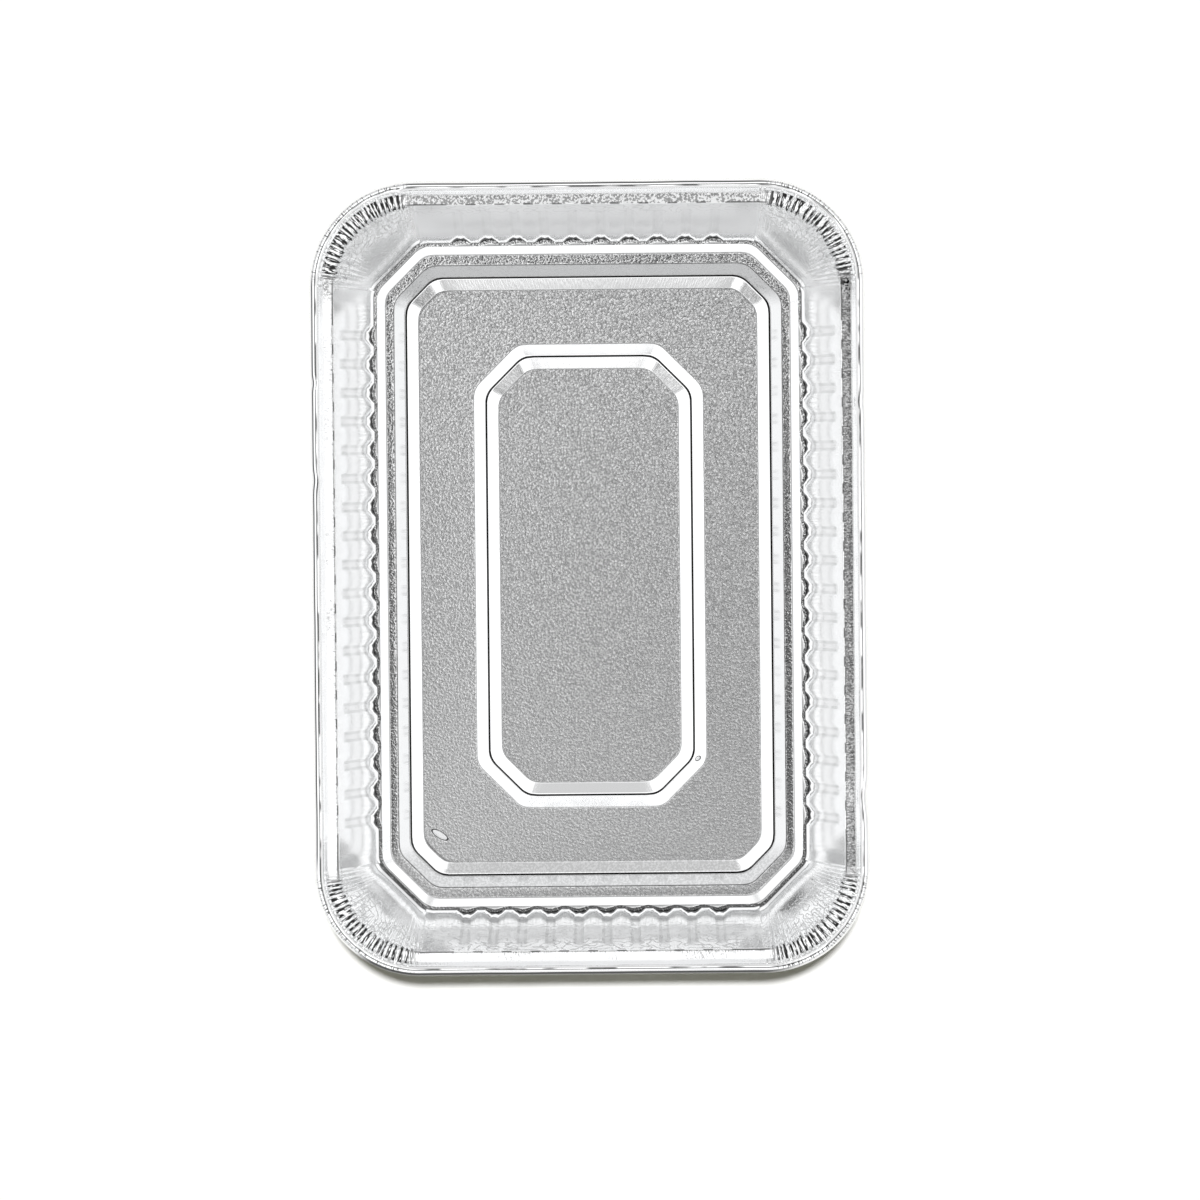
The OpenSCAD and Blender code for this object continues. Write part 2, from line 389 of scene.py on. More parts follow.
corner_bounds = {k: pleat_bounds() for k in (1, 3, 5, 7)}


def corner_places(k):
    bounds = corner_bounds[k]
    return [k + a + (b - a) * phase for a, b in zip(bounds, bounds[1:]) for phase in PLEAT_PHASES]


places = [place for k in range(8) for place in (corner_places(k) if k % 2 else side_places(k))]
print(len(places), "columns,", flutes, "flutes,", 4 * PLEATS, "pleats")

# %% [markdown]
# ## From a place to a point
# A side is a straight line. A corner is a quarter circle on the rim and a straight cut on the base, and the
# wall between them mixes the two. The press can't stamp a sharp corner, so where a cut corner meets a side
# the outline is rounded over a short way on both sides.

# %% Outlines seen from above
VERTEX_SOFT = 2.6


def heading(k):
    """Direction in which piece k of the outline runs."""
    angle = math.radians(90 + 45 * k)
    return Vector((math.cos(angle), math.sin(angle)))


def outline_point(outline, place):
    half_x, half_y, leg, roundness = outline
    k, t = int(place) % 8, place % 1
    turned = k % 4
    if turned == 0:
        point = Vector((half_x, (2 * t - 1) * (half_y - leg)))
    elif turned == 2:
        point = Vector(((1 - 2 * t) * (half_x - leg), half_y))
    else:
        arc = Vector((math.cos(t * math.pi / 2), math.sin(t * math.pi / 2)))
        cut = arc / (arc.x + arc.y)
        share = cut.y
        bend = cut.lerp(arc, roundness) * leg
        middle = Vector((half_x - leg, half_y - leg))
        point = middle + bend if turned == 1 else Vector((-middle.x - bend.y, middle.y + bend.x))
    if turned in (0, 2):
        share = t
        reach = 2 * ((half_y if turned == 0 else half_x) - leg)
    else:
        reach = leg * math.sqrt(2)
    if k >= 4:
        point = -point
    for away, before, after in ((share * reach, k - 1, k), ((1 - share) * reach, k, k + 1)):
        near = max(0, VERTEX_SOFT - away)
        point += (1 - roundness) * near ** 2 / (4 * VERTEX_SOFT) * (heading(after) - heading(before))
    return point


def outward(place):
    """Direction straight out of the tray at a place."""
    k, t = int(place) % 8, place % 1
    angle = math.radians(45 * (k - k % 2) + 90 * (t if k % 2 else 0))
    return Vector((math.cos(angle), math.sin(angle)))


print("corner of the ledge", [round(side, 1) for side in outline_point(foot, 1.5)])

# %% [markdown]
# ## The folds of the section
# A ring is an outline at a height. A fold is a ring with a rounding: how much it takes off each side, and in
# how many steps. Rounding a fold is a quadratic curve from one side of it to the other, the same sum that a
# drawing program uses for a soft corner. The flats get a few rings of their own so that they can bend.

# %% Rings of the base
FOLD_SOFT, CREST_SOFT, CREST_FLAT = 0.3, 0.18, 0.8


def blend(a, b, t):
    """Ring between rings a and b."""
    return tuple(p + (q - p) * t for p, q in zip(a, b))


def ring(outline, z, climb=0.0):
    """Outline, height, and how far up the wall it is: 0 foot, 1 top, 2 outer side of the shelf, 3 rolled edge."""
    return (*outline, z, climb)


def near(a, b, distance):
    """Ring at a distance from ring a towards ring b."""
    gap = math.hypot(b[0] - a[0], b[4] - a[4])
    return blend(a, b, min(0.45, distance / gap))


def rounded(folds):
    """Rings of a list of folds, each a ring with the length and the steps of its rounding."""
    rings = []
    for i, (here, soft, steps) in enumerate(folds):
        if not steps:
            rings.append(here)
            continue
        start, end = near(here, folds[i - 1][0], soft), near(here, folds[i + 1][0], soft)
        for j in range(steps + 1):
            t = j / steps
            rings.append(blend(blend(start, here, t), blend(here, end, t), t))
    return rings


def bead(outline):
    return [
        (ring(shrink(outline, BEAD_W / 2), FOIL), FOLD_SOFT, 2),
        (ring(shrink(outline, CREST_FLAT / 2), FOIL + BEAD_H), CREST_SOFT, 2),
        (ring(shrink(outline, -CREST_FLAT / 2), FOIL + BEAD_H), CREST_SOFT, 2),
        (ring(shrink(outline, -BEAD_W / 2), FOIL), FOLD_SOFT, 2),
    ]


panel = [(ring(shrink(inner_bead, BEAD_W / 2 + inset), FOIL), 0, 0) for inset in (9, 4.5)]
between = [(ring(shrink(inner_bead, -(BEAD_W + PANEL_W) / 2), FOIL), 0, 0)]
step = [(ring(step_low, FOIL), FOLD_SOFT, 2), (ring(step_top, ledge_z), FOLD_SOFT, 2)]
base_folds = [*panel, *bead(inner_bead), *between, *bead(outer_bead), *step]
base_rings = rounded([*base_folds, (ring(foot, ledge_z), 0, 0)])[:-1]
print(len(base_rings), "rings in the base")

# %% [markdown]
# The wall starts at the ledge with a sharp fold. Higher up it turns over the shoulder into the shelf, which
# falls a little outwards, then climbs steeply and rolls over into the rolled edge.

# %% Rings of the wall and the rim
WALL_ROWS = (0, 0.03, 0.1, 0.21, 0.34, 0.47, 0.6, 0.71, 0.8, 0.87, 0.92, 0.965)
SHOULDER = 0.45
CURL_ANGLES = (128, 110, 95, 80, 62, 40, 12, -35, -90, -180)
CURL_TUCK = 0.6

foot_ring, top_ring = ring(foot, ledge_z), ring(shelf_in, shelf_in_z, 1)
gutter_ring = ring(shelf_out, shelf_out_z, 2)


def curl_ring(angle):
    radius = CURL_R - (CURL_TUCK * angle / -180 if angle < 0 else 0)
    turn = math.radians(angle)
    z = height - CURL_R + radius * math.sin(turn)
    return ring(shrink(rim, CURL_R - radius * math.cos(turn)), z, 3)


wall = [(blend(foot_ring, top_ring, h), 0, 0) for h in WALL_ROWS]
shelf = [(top_ring, SHOULDER, 3), (blend(top_ring, gutter_ring, 0.35), 0, 0),
         (blend(top_ring, gutter_ring, 0.7), 0, 0), (gutter_ring, 0, 0)]
curl = [(curl_ring(angle), 0, 0) for angle in CURL_ANGLES]
rim_rings = rounded([*wall, *shelf, *curl])
print(len(rim_rings), "rings in the wall and rim")

# %% [markdown]
# ## Flutes, pleats and small flaws
# Every point then moves a little off its ring. On the sides, flutes run down the wall as a soft wave. In the
# corners, pleats stand up on the shelf and run down the wall until they fade above the smooth facet over each
# cut corner. Nothing pressed from foil is regular, so a low noise bends the sheet everywhere.

# %% Height of the folds at a place
FLUTE_AT_FOOT, FLUTE_DEPTH = 1.0, 0.38
PLEAT_PROFILE = (0.0, 0.1, 0.9, 1.0, 0.85, 0.08)
PLEAT_ON_SHELF = 0.55
PLEAT_ON_WALL = 0.55
CRINKLE = 0.22
DENTS = (
    {"at": (-73.9, 53.2), "reach": 1.6, "push": 0.30},
    {"at": (-73.7, 27.0), "reach": 2.2, "push": 0.35},
    {"at": (73.8, 47.0), "reach": 1.6, "push": 0.30},
    {"at": (75.0, -60.3), "reach": 4.0, "push": 0.55},
    {"at": (-50.4, 105.3), "reach": 1.2, "push": 0.40},
)

pleat_size = {k: [dice.uniform(0.3, 1.25) for _ in range(PLEATS)] for k in (1, 3, 5, 7)}


def smooth(value, start, end):
    t = min(1, max(0, (value - start) / (end - start)))
    return t * t * (3 - 2 * t)


def flute_wave(place):
    """Wave of the flutes on a side, from -1 in to 1 out, and -1 on its plain ends."""
    k, t = int(place), place % 1
    half, count = straights[k // 2 % 2], flutes[k // 2 % 2]
    turn = (t - 0.5) * 2 * half / FLUTE_PITCH
    if abs(turn) > count / 2:
        return -1
    return math.cos(2 * math.pi * (turn + (count - 1) / 2))


def flute_bulge(wave, climb):
    """How far a flute swells outwards, from 0 to 1: broad at the foot of the wall and narrow above it."""
    edge = -0.45 + 0.75 * smooth(climb, 0.02, 0.25)
    return smooth(wave, edge, edge + 0.8)


def flute_depth(climb):
    return (FLUTE_AT_FOOT + (FLUTE_DEPTH - FLUTE_AT_FOOT) * smooth(climb, 0, 0.2)) * (1 - smooth(climb, 0.5, 0.95))


def pleat_height(index, place):
    """Height of the pleat at column number index, from 0 to 1, and 0 off the corners."""
    k = int(place)
    if k % 2 == 0:
        return 0
    pleat, phase = divmod(index - starts[k], len(PLEAT_PHASES))
    return pleat_size[k][pleat] * PLEAT_PROFILE[phase] * (0.3 + 0.7 * corner_share(place))


def corner_share(place):
    """1 in a corner and 0 on a side, with a soft change between them."""
    t = place % 1
    return smooth(min(t, 1 - t), 0, 0.12) if int(place) % 2 else 0


def sheet_noise(point, size, seed):
    return noise.noise(Vector((point.x / size, point.y / size, point.z / size + 31 * seed)))


def dented(point, out):
    """The point pushed in by the dents near it."""
    for dent in DENTS:
        gap = math.hypot(point.x - dent["at"][0], point.y - dent["at"][1]) / dent["reach"]
        point = point - (out + Vector((0, 0, 0.5))) * dent["push"] * math.exp(-gap * gap)
    return point


def displaced(ring_here, index, place):
    """Point of the sheet, in millimetres, on a ring and a column."""
    *outline, z, climb = ring_here
    flat = outline_point(outline, place)
    point = Vector((flat.x, flat.y, z))
    out = Vector((*outward(place), 0))
    on_corner = int(place) % 2 == 1
    if 0 <= climb <= 1 and z > ledge_z - 0.001:
        if on_corner:
            t = place % 1
            facet = 0.30 + 0.32 * smooth(0.5 - abs(t - 0.5), 0.1, 0.45)
            fade = smooth(climb, facet, facet + 0.4)
            point += out * PLEAT_ON_WALL * fade * (pleats[index] - 0.4)
            point += out * CRINKLE * smooth(climb, facet * 0.5, facet + 0.3) * sheet_noise(point, 2.2, 1)
        else:
            point += out * flute_depth(climb) * (flute_bulge(waves[index], climb) - 0.5)
    if climb > 1 - 1e-6:
        on_shelf = smooth(climb, 1, 1.1) * (1 - smooth(climb, 1.95, 2.6))
        point.z += PLEAT_ON_SHELF * on_shelf * (pleats[index] - 0.3)
        point += out * 0.10 * sheet_noise(point, 14, 3)
        point.z += 0.06 * sheet_noise(point, 9, 4)
        point = dented(point, out)
    elif climb == 0 and z < ledge_z:
        point.z += 0.01 * sheet_noise(point, 18, 5)
    return point


starts = {k: places.index(k + corner_bounds[k][0]) for k in (1, 3, 5, 7)}
waves = [-1 if int(place) % 2 else flute_wave(place) for place in places]
pleats = [pleat_height(index, place) for index, place in enumerate(places)]
print("deepest flute", FLUTE_AT_FOOT, "mm, highest pleat", round(PLEAT_ON_SHELF * max(pleats), 2), "mm")

# %% [markdown]
# The material has to know where on the sheet it is. A map called "sheet" unrolls it: its first value is the
# way round the tray, and its second the way up the section, both in millimetres, with zero at the foot of the
# wall. An attribute called "folds" holds the wave of the flutes, the height of the pleats, and 1 on corners.

# %% Unroll the sheet
def way_round(place):
    """Distance along the rim up to a place, in millimetres."""
    k, t = int(place), place % 1
    lengths = [CORNER * math.pi / 2 if j % 2 else 2 * straights[j // 2 % 2] for j in range(8)]
    return sum(lengths[:k]) + t * lengths[k]


def ways_up(rings):
    """Distance along the section up to each ring, with zero at the foot of the wall."""
    ways = [0.0]
    for before, after in zip(rings, rings[1:]):
        ways.append(ways[-1] + math.hypot(after[0] - before[0], after[4] - before[4]))
    foot_way = ways[len(base_rings)]
    return [way - foot_way for way in ways]


all_rings = [*base_rings, *rim_rings]
ways = ways_up(all_rings)
rounds = [way_round(place) for place in places]
full_round = way_round(7.999999)


def way_of(fold):
    """The way up the section at the ring nearest to a fold."""
    gaps = [math.hypot(ring_here[0] - fold[0], ring_here[4] - fold[4]) for ring_here in all_rings]
    return ways[gaps.index(min(gaps))]


NECK_WAY, GUTTER_WAY = way_of(top_ring), way_of(gutter_ring)
inner_folds, outer_folds, step_folds = ([way_of(fold) for fold, *_ in folds]
                                        for folds in (bead(inner_bead), bead(outer_bead), step))
FLAT_EDGES = [inner_folds[0], inner_folds[-1], outer_folds[0], outer_folds[-1], *step_folds]
CRESTS = [sum(folds[1:3]) / 2 for folds in (inner_folds, outer_folds)]
ROLL_TOP_WAY = way_of(curl_ring(90))
print("neck", round(NECK_WAY, 1), "mm and gutter", round(GUTTER_WAY, 1), "mm up the section")
print("edges of the flats at", [round(way, 1) for way in FLAT_EDGES])
print("crests of the beads at", [round(way, 1) for way in CRESTS])

# %% [markdown]
# ## Pressing the sheet
# The mesh starts as one flat disc with an edge for every fourth column. Extruding its edge gives the next
# ring, whose points then move to their places, and so on out to the foot of the wall. There each edge is cut
# in four, because the wall and the rim need four times as many columns, and the extruding goes on to the end
# of the rolled edge.

# %% Extrude the rings
def extrude_ring(bm, loop):
    """Extrudes a closed loop of vertices and gives the new loop, in the same order."""
    edges = [bm.edges.get(pair) for pair in zip(loop, loop[1:] + loop[:1])]
    made = bmesh.ops.extrude_edge_only(bm, edges=edges)["geom"]
    fresh = {item for item in made if isinstance(item, bmesh.types.BMVert)}
    return [next(e.other_vert(v) for e in v.link_edges if e.other_vert(v) in fresh) for v in loop]


def refine_ring(bm, loop, cuts):
    """Cuts the edges of an open rim loop and gives the longer loop, in the same order."""
    edges = [bm.edges.get(pair) for pair in zip(loop, loop[1:] + loop[:1])]
    bm.verts.index_update()
    first, second, count = loop[0].index, loop[1].index, len(loop) * (cuts + 1)
    bmesh.ops.bisect_edges(bm, edges=edges, cuts=cuts)
    bm.verts.ensure_lookup_table()
    here, goal = bm.verts[first], bm.verts[second].co
    longer = [here]
    while len(longer) < count:
        ahead = [e.other_vert(here) for e in here.link_edges if e.is_boundary]
        ahead = [v for v in ahead if v not in longer[-2:]]
        here = min(ahead, key=lambda v: (v.co - goal).length)
        longer.append(here)
    return longer


def set_ring(bm, loop, number, columns):
    """Puts a loop on a ring, and notes the folds and the way round and up at each vertex."""
    folds = bm.verts.layers.float_vector.get("folds") or bm.verts.layers.float_vector.new("folds")
    way = bm.verts.layers.float_vector.get("way") or bm.verts.layers.float_vector.new("way")
    for vert, index in zip(loop, columns):
        vert.co = displaced(all_rings[number], index, places[index]) * MM
        vert[folds] = (waves[index], pleats[index], corner_share(places[index]))
        vert[way] = (rounds[index], ways[number], 0)


def press_sheet():
    bm = bmesh.new()
    bm.verts.layers.float_vector.new("folds")
    bm.verts.layers.float_vector.new("way")
    fine = range(len(places))
    coarse = fine[::COARSE]
    loop = bmesh.ops.create_circle(bm, cap_ends=True, segments=len(coarse), radius=1)["verts"]
    set_ring(bm, loop, 0, coarse)
    for number in range(1, len(base_rings) + 1):
        loop = extrude_ring(bm, loop)
        set_ring(bm, loop, number, coarse)
    loop = refine_ring(bm, loop, COARSE - 1)
    set_ring(bm, loop, len(base_rings), fine)
    for number in range(len(base_rings) + 1, len(all_rings)):
        loop = extrude_ring(bm, loop)
        set_ring(bm, loop, number, fine)
    return bm


def unroll(bm):
    """Fills the map called sheet from the ways kept at the vertices."""
    way = bm.verts.layers.float_vector["way"]
    sheet_map = bm.loops.layers.uv.new("sheet")
    for face in bm.faces:
        last = max(loop.vert[way].x for loop in face.loops)
        for loop in face.loops:
            run, up, _ = loop.vert[way]
            loop[sheet_map].uv = (run + full_round if last - run > full_round / 2 else run, up)


sheet = press_sheet()
unroll(sheet)
print(len(sheet.verts), "points,", len(sheet.faces), "faces")

# %% [markdown]
# The faces must look up and into the tray, and the fold at the foot of the wall stays sharp.

# %% Turn the faces and mark the sharp folds
SHARP_FOLD = math.radians(48)

bmesh.ops.recalc_face_normals(sheet, faces=sheet.faces)
sheet.faces.ensure_lookup_table()
middle_face = max(sheet.faces, key=lambda face: len(face.verts))
if middle_face.normal.z < 0:
    bmesh.ops.reverse_faces(sheet, faces=sheet.faces)
for face in sheet.faces:
    face.smooth = True
for edge in sheet.edges:
    if len(edge.link_faces) == 2 and edge.calc_face_angle(0) > SHARP_FOLD:
        edge.smooth = False
mesh = bpy.data.meshes.new("container")
sheet.to_mesh(mesh)
sheet.free()
container = bpy.data.objects.new("container_sheet", mesh)
bpy.context.collection.objects.link(container)
thickness = container.modifiers.new("foil thickness", "SOLIDIFY")
thickness.thickness = FOIL * MM
thickness.offset = -1
flats = container.modifiers.new("flats stay flat", "WEIGHTED_NORMAL")
flats.keep_sharp = True
triangles = 2 * sum(len(polygon.vertices) - 2 for polygon in mesh.polygons)
print("about", triangles, "triangles,", sum(edge.use_edge_sharp for edge in mesh.edges), "sharp edges")

# %% [markdown]
# ## The foil
# Rolled foil is bright on one side. Where the dies rubbed it, on every slope and crest, it is a soft mirror.
# The flats of the base were hardly touched and keep the fine grain of the rolling, which breaks their mirror
# image into a grey glitter. So the material has to know the parts of the sheet. A mask is 1 on its part and 0
# elsewhere. Most masks are bands of the way up the section, and the others compare places in millimetres.

# %% Masks for the parts of the sheet
RIGHT_SIDE, FAR_END = (66, 72), (74, 80)
NEAR_END, NEAR_WALL = (-80, -74), (-92, -88)
BASE_ENDS = (-90, 90)
GROUND = (0.13, 0.2)
EDGE_SOFT = 0.1


def foil_masks(graph):
    """The place on the sheet as links, and a mask for each part that looks different."""
    at = SimpleNamespace()
    at.where = graph.add("ShaderNodeTexCoord", (), output=3)
    at.unrolled = graph.add("ShaderNodeUVMap", {"uv_map": "sheet"})
    folds = graph.add("ShaderNodeAttribute", {"attribute_name": "folds"}, output=1)
    at.flute, at.pleat, at.corner = graph.parts(folds)
    at.x, at.y, z = (axis * (1 / MM) for axis in graph.parts(at.where))
    at.up = graph.parts(at.unrolled)[1]

    at.straight = 1 - at.corner
    at.right = graph.ramp(at.x, *RIGHT_SIDE)
    at.near_end, at.far_end = graph.ramp(at.y, *NEAR_END, 1, 0), graph.ramp(at.y, *FAR_END)
    at.near_wall = graph.ramp(at.y, *NEAR_WALL, 1, 0)
    at.farther = graph.ramp(at.y, *BASE_ENDS, smooth=False)

    at.flat = graph.ramp(z, *GROUND, 1, 0)
    at.ring_flat = graph.band(at.up, outer_folds[-1], step_folds[0], EDGE_SOFT)
    at.outer_flank = graph.band(at.up, CRESTS[1] + 0.3, outer_folds[-1], EDGE_SOFT)
    at.near_slopes = at.near_end * graph.band(at.up, outer_folds[0], step_folds[0], EDGE_SOFT)
    at.ledge = graph.band(at.up, -LEDGE, 0, EDGE_SOFT)
    at.wall = graph.band(at.up, 1, NECK_WAY - 1.5, 1)
    at.upper_wall = graph.band(at.up, 7, NECK_WAY - 0.5, 4)
    at.shelf = graph.band(at.up, NECK_WAY, GUTTER_WAY, 0.15)
    # Rubbed part of the shelf: rougher and streaked, and also given painted shade and painted flecks
    at.rubbed = at.shelf * (at.right + at.far_end) * at.straight
    at.rolled = graph.ramp(at.up, GUTTER_WAY + 1.2, GUTTER_WAY + 2)
    at.grained = at.flat.math("MAXIMUM", at.flat, at.ledge + at.outer_flank * at.far_end)
    return at


print("foil", round(ways[-1] - ways[0], 1), "mm long from the panel in the base to its tucked edge")

# %% [markdown]
# The relief of the surface is far too fine for the mesh: grain on the flats, rubbing streaks across the
# folds, wandering wrinkles on the walls, a ripple along the rolled edge, and a nick and a small mark in the
# base. Their patterns return later, because the painted shade and glitter lie in the same hollows.

# %% Fine relief
GRAIN_SIZE, RIPPLE_SIZE = 0.62 * MM, 7.0
STREAK_STRETCH, WRINKLE_STRETCH = (0.45, 2.2, 1), (2.6, 3.4, 1)
FLAWS = (
    {"at": (-42.5, -71.7), "turn": -32, "half": (3.0, 1.1)},
    {"at": (29.5, -51.1), "turn": 40, "half": (1.0, 0.7)},
)
FLAW_HEIGHT = 0.3
GRAIN_HEIGHT, FAR_GRAIN_HEIGHT = 0.03, 0.06
STREAK_HEIGHT, SHELF_STREAK_HEIGHT, RUBBED_HEIGHT = 0.01, 0.04, 0.03
WRINKLE_HEIGHT, RIPPLE_HEIGHT = 0.1, 0.05


def flaw_shape(graph, x, y, flaw):
    """A small oval mark on the base, from 0 at its edge to 1 at its middle."""
    dx, dy = x - flaw["at"][0], y - flaw["at"][1]
    cosine, sine = (f(math.radians(flaw["turn"])) for f in (math.cos, math.sin))
    along = (dx * cosine + dy * sine) / flaw["half"][0]
    across = (dy * cosine - dx * sine) / flaw["half"][1]
    return graph.ramp((along * along + across * across) ** 0.5, 0.4, 1, 1, 0)


def foil_patterns(graph, at):
    """Adds the patterns of the surface to the masks: noises, and where each of them lies."""
    at.grain = graph.noise(at.where, GRAIN_SIZE, detail=1.5, roughness=0.6)
    at.streaks = graph.noise(at.unrolled, 1.0, detail=2, stretch=STREAK_STRETCH)
    at.ripple = graph.noise(at.unrolled, RIPPLE_SIZE, detail=1)
    at.nicks = sum(flaw_shape(graph, at.x, at.y, flaw) for flaw in FLAWS)
    wrinkled = graph.ramp(at.up, 10, 30) * (at.corner * 0.7 + at.near_wall * at.straight)
    wrinkled = wrinkled + graph.ramp(at.up, 28, 36) * at.far_end * at.straight * 0.5
    creases = graph.creases(at.unrolled, 1.0, detail=0.5, stretch=WRINKLE_STRETCH)
    at.wrinkles = creases * at.wall * wrinkled


def foil_relief(at):
    """Height of the surface in millimetres."""
    relief = at.grain * at.grained * (GRAIN_HEIGHT + at.farther * FAR_GRAIN_HEIGHT)
    rubbing = (1 - at.flat) * STREAK_HEIGHT + at.shelf * SHELF_STREAK_HEIGHT + at.rubbed * RUBBED_HEIGHT
    relief = relief + at.streaks * rubbing + at.wrinkles * WRINKLE_HEIGHT
    return relief + at.ripple * at.rolled * RIPPLE_HEIGHT + at.nicks * FLAW_HEIGHT


print(len(FLAWS), "flaws in the base, grain", GRAIN_HEIGHT, "to", GRAIN_HEIGHT + FAR_GRAIN_HEIGHT, "mm")

# %% [markdown]
# Every sharp fold of the tray shows as a dark line, because within a hair's width it mirrors the dark patch,
# the belt or the tray itself. Those lines are finer than the mesh can hold, so the material paints them along
# the folds as painted reflections, with painted shade in the valleys of the gathers and a painted shadow on the
# rolled edge at the near end. A table says which share of the light each kind of line takes away.

# %% Painted lines at the folds
LINE_SOFT = 0.12
PAINTED_LINE_TAKES = {"edge": 0.5, "crest": 0.6, "groove": 0.2, "neck": 0.7, "gather": 0.97, "tick": 0.8,
              "painted outer line": 0.85, "painted inner line": 0.8, "under": 0.9}


def base_lines(graph, at):
    """Share of light left by painted reflections along the foot of the wall, the flats' edges and the beads'
    crests.
    """
    # Painted reflections: the folds' thin dark mirror images, drawn into the colour
    foot_line = graph.band(at.up, -0.12, 0.2, 0.2) * (0.45 + graph.ramp(at.flute, -0.4, 0.2, 0, 0.4))
    left = 1 - foot_line
    for way in FLAT_EDGES:
        left = left * (1 - graph.band(at.up, way - 0.1, way + 0.1, LINE_SOFT) * PAINTED_LINE_TAKES["edge"])
    for way in CRESTS:
        left = left * (1 - graph.band(at.up, way - 0.22, way + 0.22, 0.1) * PAINTED_LINE_TAKES["crest"])
    return left


def wall_lines(graph, at):
    """Share of light left by painted dark bars in the flute grooves and painted dashes where the wall meets the
    shelf.
    """
    # Painted reflections of the flutes' grooves, stronger at the near end and fainter at the far end
    groove = graph.band(at.flute, 0.45, 0.75, LINE_SOFT)
    groove = groove + graph.ramp(at.flute, 0.5, 0.9) * (0.3 + at.near_end * 0.2)
    groove = groove * graph.band(at.up, 9, 34, 2) * (1 - at.far_end * 0.7)
    groove = groove * graph.ramp(at.ripple, 0.3, 0.6, 0.5, 1)
    # Painted dark dashes at the neck, between the flutes
    neck = graph.band(at.up, NECK_WAY - 0.25, NECK_WAY + 0.1, 0.15)
    neck = neck * graph.ramp(at.flute, -0.6, -0.3, 1, 0) * at.straight
    return (1 - groove * PAINTED_LINE_TAKES["groove"]) * (1 - neck * PAINTED_LINE_TAKES["neck"])


def gather_lines(graph, at):
    """Share of light left by painted shade in the valleys between gathers, which have ragged sides and uneven
    lower ends.
    """
    ragged = graph.noise(at.unrolled, 1.0, detail=1, stretch=(0.4, 2.2, 1)) - 0.5
    # Painted shade in the crevices of the gathers, in the corners
    valley = graph.ramp(at.pleat + ragged * 1.9, 0.09, 0.28, 1, 0)
    raised = graph.noise(at.unrolled, 1.0, detail=1, stretch=(0.6, 30, 1)) * 6 - 2
    lower_end = NECK_WAY - 2.6 + raised.math("MAXIMUM", raised, 0.0)
    gather = valley * at.corner * graph.band(at.up, lower_end, GUTTER_WAY + 1.0, 0.2)
    return 1 - gather * PAINTED_LINE_TAKES["gather"]


def roll_lines(graph, at):
    """Share of light left by ticks, painted reflections along the rolled edge, and a painted shadow at its near
    end.
    """
    tick = graph.ramp(at.streaks, 0.54, 0.6) * at.corner
    tick = tick * graph.band(at.up, ROLL_TOP_WAY, ROLL_TOP_WAY + 1.1, 0.2)
    # Painted reflection: a dark line on the outer side of the roll, left out at the right, the near end and most
    # of the corners
    outer = graph.band(at.up, ROLL_TOP_WAY + 0.65, ROLL_TOP_WAY + 0.95, LINE_SOFT)
    outer = outer * (1 - at.right) * (1 - at.near_end) * (1 - at.corner * 0.75)
    # Painted reflection: a broken dark line just inside the top of the roll
    inner = graph.band(at.up, ROLL_TOP_WAY - 0.3, ROLL_TOP_WAY - 0.05, 0.15)
    inner = inner * graph.ramp(at.ripple, 0.42, 0.6) * (1 - at.corner * 0.4)
    # Painted shadow on the outer side of the rolled edge along the near end, left out at its right part
    under = graph.band(at.up, ROLL_TOP_WAY + 0.95, ROLL_TOP_WAY + 4, 0.2)
    under = under * graph.ramp(at.y, -104, -100, 1, 0) * graph.ramp(at.x, 45, 60, 1, 0)
    left = (1 - tick * PAINTED_LINE_TAKES["tick"]) * (1 - outer * PAINTED_LINE_TAKES["painted outer line"])
    return left * (1 - inner * PAINTED_LINE_TAKES["painted inner line"]) * (1 - under * PAINTED_LINE_TAKES["under"])


print("lines at", len(FLAT_EDGES), "edges of flats and", len(CRESTS), "crests")

# %% [markdown]
# The rest of the shade belongs to whole parts, and most of it is painted. The grain's hollows take a speckle,
# deepened into a painted glitter of the dark patch, more of it towards the far end. The outer side of the outer
# bead, the ledge, the wrinkles and the rims of the flaws get painted shade. The shelf was rubbed at the right and
# at the far end, and there it gets painted flecks and painted shade. Roughness follows the same parts.

# %% Shade and roughness of whole parts
# Grain speckle with painted glitter of the mirrored dark patch, on the flats, more towards the far end
GRAIN_GLITTER, FAR_GLITTER, SLOPE_GLITTER = 0.16, 0.3, 0.16
# Share of light taken by the painted flecks, the painted wrinkle shade and the painted flaw outlines
PAINTED_TAKES = {"painted_fleck": 0.6, "wrinkle_shade": 0.34, "painted flaw outline": 0.9}
PLAIN_ROUGHNESS, GRAIN_ROUGHNESS, SMOOTHER = 0.08, 0.14, 0.08
WALL_ROUGHNESS, FAR_WALL_ROUGHNESS = 0.05, 0.15
RUBBED_ROUGHNESS, FLAW_ROUGHNESS = 0.1, 0.5


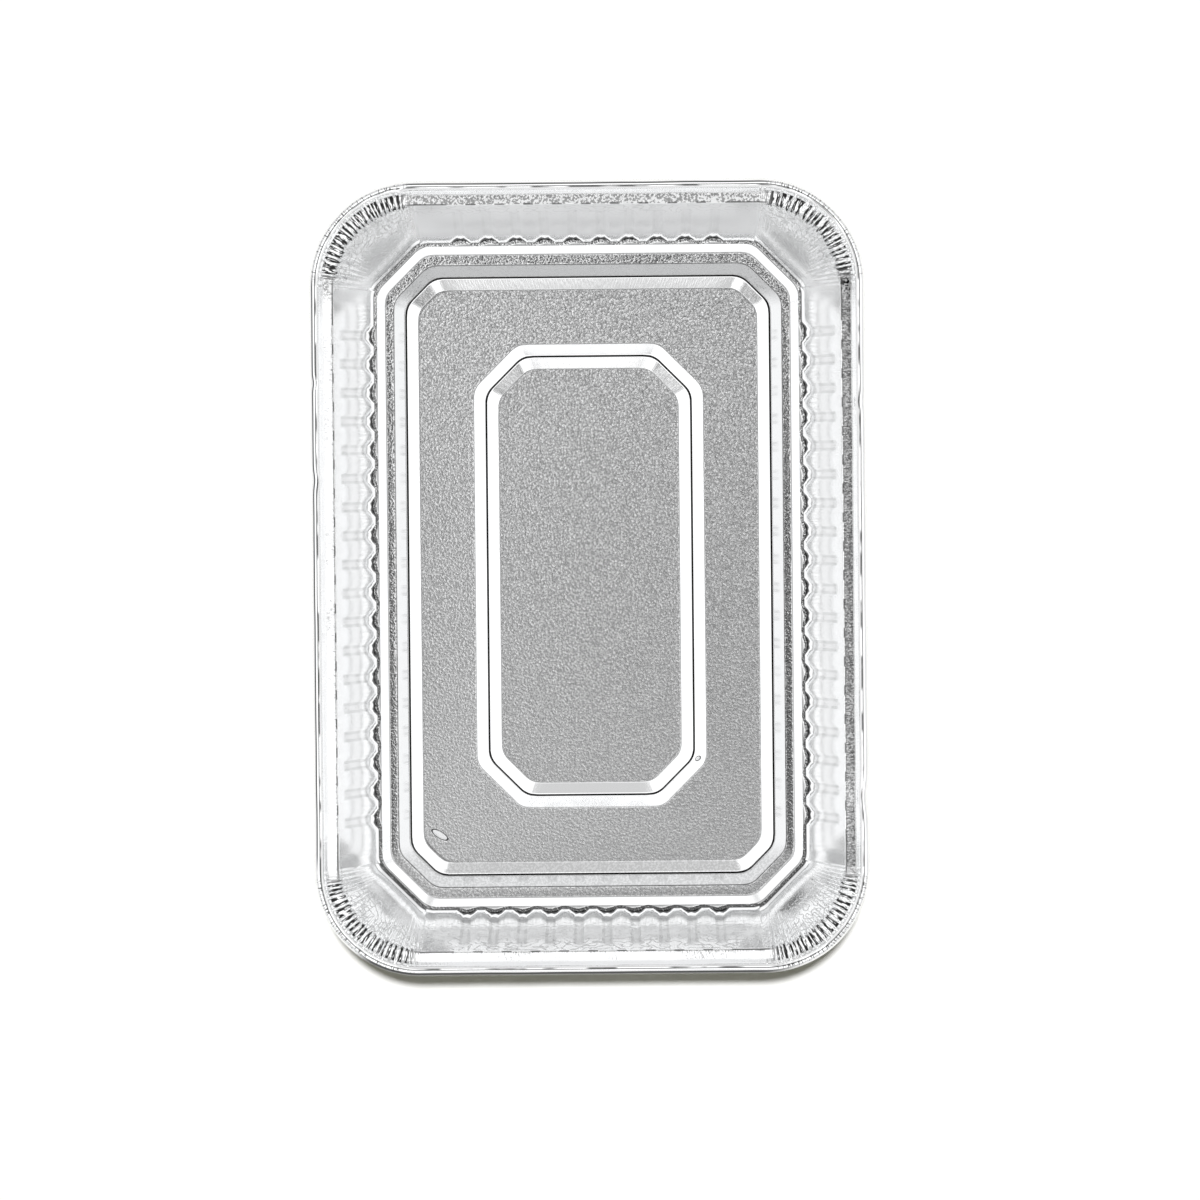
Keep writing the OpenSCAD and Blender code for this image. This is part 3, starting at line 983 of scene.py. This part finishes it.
def part_shade(graph, at):
    """Share of light left by grain speckle and by painted glitter, flecks, wrinkle shade, part shade and flaw
    rims.
    """
    # Grain speckle and painted glitter, more towards the far end and on the near slopes
    grain_and_glitter = at.flat * (GRAIN_GLITTER + at.farther * FAR_GLITTER) * (1 - at.ring_flat * 0.4) * (1 - at.nicks)
    grain_and_glitter = (grain_and_glitter + at.near_slopes * SLOPE_GLITTER) * graph.ramp(at.grain, 0.42, 0.62, 1, 0)
    # Painted dark flecks on the shelf at the right and the far end
    painted_fleck = graph.ramp(at.grain, 0.46, 0.54) * at.rubbed
    # Painted dark outline round each flaw
    painted_flaw_outline = graph.band(at.nicks, 0.06, 0.36, 0.06)
    # Painted shade in the wrinkles of the walls, with the grain and the flecks
    left = (1 - grain_and_glitter) * (1 - painted_fleck * PAINTED_TAKES["painted_fleck"]) * (1 - at.wrinkles * PAINTED_TAKES["wrinkle_shade"])
    left = left * (1 - painted_flaw_outline * PAINTED_TAKES["painted flaw outline"])
    # Painted shade on the rubbed shelf, most at the right, and on the ledge, more in the corners
    left = left * (1 - at.rubbed * (0.1 + at.right * 0.3)) * (1 - at.ledge * (0.1 + at.corner * 0.22))
    # Painted shade on the outer side of the outer bead, more at both ends and most at the far end
    return left * (1 - at.outer_flank * (0.19 + at.near_end * 0.12 + at.far_end * 0.27))


def foil_roughness(at):
    """Roughness of the surface: a soft mirror, duller where grained and on the far wall."""
    smoother = at.ledge + at.ring_flat * (1 - at.near_end)
    far_wall = at.far_end * (1 - at.corner * 0.6)
    rough = PLAIN_ROUGHNESS + at.grained * GRAIN_ROUGHNESS - smoother * SMOOTHER
    rough = rough + at.upper_wall * (WALL_ROUGHNESS + far_wall * FAR_WALL_ROUGHNESS)
    return rough + at.rubbed * RUBBED_ROUGHNESS + at.nicks * FLAW_ROUGHNESS


# Grain speckle and painted glitter in the hollows of the grain
print("dirt takes", GRAIN_GLITTER, "to", round(GRAIN_GLITTER + FAR_GLITTER, 2), "of the light in the hollows of the grain")

# %% [markdown]
# All of it meets in one material. The relief goes into a bump, and the shares of light left by the painted
# lines and shade multiply and scale the pale colour of the metal. The sheet then takes the place of the solid
# on the tray's one body.

# %% Make the foil
FOIL_COLOUR = (0.965, 0.97, 0.975)


def make_foil():
    material = bpy.data.materials.new("bright foil")
    material.use_nodes = True
    graph = Graph(material.node_tree)
    at = foil_masks(graph)
    foil_patterns(graph, at)
    bump = graph.add("ShaderNodeBump", (), Strength=1.0, Distance=1 * MM, Height=foil_relief(at))
    # Painted shade and reflections, multiplied into the colour of the foil
    shade = base_lines(graph, at) * wall_lines(graph, at) * gather_lines(graph, at)
    shade = shade * roll_lines(graph, at) * part_shade(graph, at)
    colour = graph.add("ShaderNodeVectorMath", {"operation": "SCALE"}, FOIL_COLOUR, Scale=shade)
    shader = graph.add("ShaderNodeBsdfPrincipled", (), Base_Color=colour, Metallic=1.0,
                       Roughness=foil_roughness(at), Normal=bump)
    graph.add("ShaderNodeOutputMaterial", (), shader)
    return material


container.data.materials.append(make_foil())
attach(container, "root")
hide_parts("container")
print("foil on", container.name)
